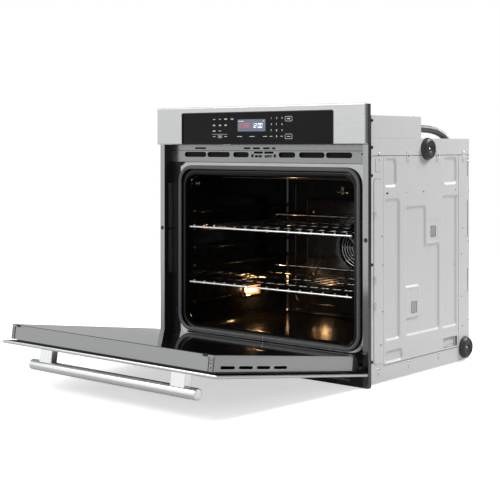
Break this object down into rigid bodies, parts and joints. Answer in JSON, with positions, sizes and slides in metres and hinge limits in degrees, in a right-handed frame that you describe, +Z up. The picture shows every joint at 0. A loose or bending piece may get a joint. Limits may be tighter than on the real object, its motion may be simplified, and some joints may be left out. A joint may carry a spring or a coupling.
{
  "type": "built-in wall oven",
  "caption": "Built-in wall oven with a drop-down door on side hinges, sliding wire racks, a rear convection fan, a glass control panel and a galvanised cabinet body.",
  "frame": {"origin": "middle of the base pan underside, 300 mm behind the front plane of the control fascia", "axes": "+Z up, +Y from the front into the cabinet, +X to the right seen from the front"},
  "size_m": [0.756, 1.1383, 0.7424],
  "materials": {
    "brushed_steel": "fine brushed stainless steel",
    "galvanised_steel": "satin galvanised sheet",
    "grey_steel": "satin grey paint",
    "black_enamel": "gloss porcelain enamel",
    "black_plastic": "matt black",
    "black_steel": "satin black",
    "dark_glass": "polished dark glass",
    "woven_gasket": "woven glass-fibre braid",
    "chromed_wire": "bright chromed wire",
    "element_sheath": "heat-darkened sheath",
    "glass_wool": "matt fibre blanket",
    "circuit_board": "satin solder mask",
    "lamp_glass": "frosted heat-proof glass",
    "cast_aluminium": "bare metal"
  },
  "bodies": {
    "cabinet": {"control_fascia": "brushed_steel", "side_trim_left": "brushed_steel", "side_trim_right": "brushed_steel", "side_panel_left": "galvanised_steel", "side_panel_right": "galvanised_steel", "front_post_left": "galvanised_steel", "front_post_right": "galvanised_steel", "rear_post_left": "galvanised_steel", "rear_post_right": "galvanised_steel", "upper_rail_left": "galvanised_steel", "upper_rail_right": "galvanised_steel", "lower_rail_left": "galvanised_steel", "lower_rail_right": "galvanised_steel", "rear_panel": "galvanised_steel", "base_pan": "galvanised_steel", "top_plate": "galvanised_steel", "electronics_cover": "galvanised_steel", "blower_housing": "galvanised_steel", "vent_trim": "grey_steel", "bottom_trim": "grey_steel", "front_frame": "black_enamel", "cavity_liner": "black_enamel", "rack_guide_left": "black_enamel", "rack_guide_right": "black_enamel", "fan_cover": "black_enamel", "fascia_frame": "black_plastic", "fan_motor": "black_plastic", "bumper_lower_left": "black_plastic", "bumper_lower_right": "black_plastic", "bumper_upper_left": "black_plastic", "bumper_upper_right": "black_plastic", "hinge_bracket_left": "black_steel", "hinge_bracket_right": "black_steel", "control_glass": "dark_glass", "gasket": "woven_gasket", "temperature_probe": "chromed_wire", "broil_element": "element_sheath", "bake_element": "element_sheath", "convection_element": "element_sheath", "insulation_blanket": "glass_wool", "control_board": "circuit_board", "oven_lamp": "lamp_glass", "supply_conduit": "cast_aluminium", "conduit_gland": "cast_aluminium", "conduit_fitting": "cast_aluminium"},
    "door": {"door_skin": "brushed_steel", "door_outer_glass": "dark_glass", "door_spacer": "black_plastic", "door_body": "grey_steel", "door_middle_glass": "dark_glass", "door_inner_glass": "dark_glass", "handle_bar": "brushed_steel", "handle_post_left": "brushed_steel", "handle_post_right": "brushed_steel", "hinge_arm_left": "black_steel", "hinge_arm_right": "black_steel"},
    "upper_rack": {"upper_rack": "chromed_wire"},
    "lower_rack": {"lower_rack": "chromed_wire"},
    "convection_blade": {"fan_blade": "cast_aluminium"},
    "cooling_wheel": {"blower_wheel": "black_plastic"}
  },
  "joints": [
    {"name": "door_hinge", "type": "hinge", "parent": "cabinet", "child": "door", "pos_m": [0, -0.296, 0.047], "axis": [-1, 0, 0], "range_deg": [0, 82]},
    {"name": "upper_rack_slide", "type": "slide", "parent": "cabinet", "child": "upper_rack", "axis": [0, 1, 0], "range_m": [-0.3, 0]},
    {"name": "lower_rack_slide", "type": "slide", "parent": "cabinet", "child": "lower_rack", "axis": [0, 1, 0], "range_m": [-0.3, 0]},
    {"name": "convection_fan_spin", "type": "hinge", "parent": "cabinet", "child": "convection_blade", "pos_m": [0, 0.2178, 0.312], "axis": [0, 1, 0], "continuous": true},
    {"name": "cooling_wheel_spin", "type": "hinge", "parent": "cabinet", "child": "cooling_wheel", "pos_m": [-0.08, -0.1, 0.6135], "axis": [0, 0, 1], "continuous": true}
  ]
}
